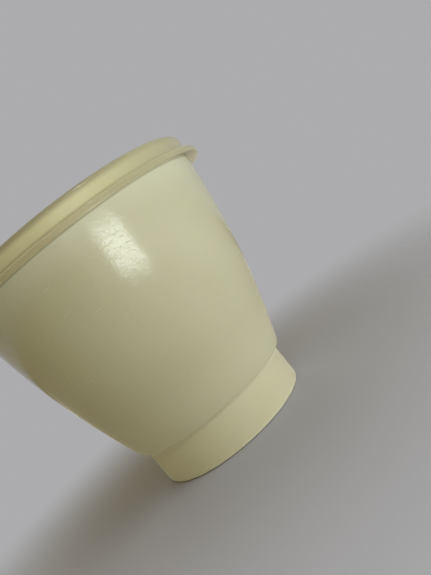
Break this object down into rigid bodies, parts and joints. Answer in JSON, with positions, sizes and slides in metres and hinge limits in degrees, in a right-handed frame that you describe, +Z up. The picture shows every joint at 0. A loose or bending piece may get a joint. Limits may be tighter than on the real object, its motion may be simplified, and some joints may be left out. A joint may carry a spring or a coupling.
{
  "type": "yogurt maker",
  "caption": "Round insulated yogurt maker: a tapered vessel on a foot ring with a flanged press-on lid, holding a lift-out pot with a plug cap; it keeps warm milk warm without power.",
  "frame": {"origin": "centre of the flat ring that the foot rests on", "axes": "+Z up along the axis of turning, +X along the pot cap's grip bar"},
  "size_m": [0.1514, 0.1514, 0.1358],
  "materials": {
    "shell_plastic": "satin",
    "foot_plastic": "satin",
    "lid_plastic": "satin",
    "liner_plastic": "satin",
    "pot_plastic": "satin",
    "cap_plastic": "satin",
    "foam": "matte"
  },
  "bodies": {
    "vessel": {"outer_shell": "shell_plastic", "foot_ring": "foot_plastic", "insulation_cup": "foam", "inner_liner": "liner_plastic"},
    "pot": {"yogurt_pot": "pot_plastic"},
    "cap": {"pot_cap": "cap_plastic"},
    "cover": {"lid": "lid_plastic", "lid_insulation": "foam", "lid_inner_panel": "liner_plastic"}
  },
  "joints": [
    {"name": "pot_lift", "type": "slide", "parent": "vessel", "child": "pot", "axis": [0, 0, 1], "range_m": [0, 0.11]},
    {"name": "cap_lift", "type": "slide", "parent": "pot", "child": "cap", "axis": [0, 0, 1], "range_m": [0, 0.08]},
    {"name": "lid_lift", "type": "slide", "parent": "cap", "child": "cover", "axis": [0, 0, 1], "range_m": [0, 0.08]}
  ]
}
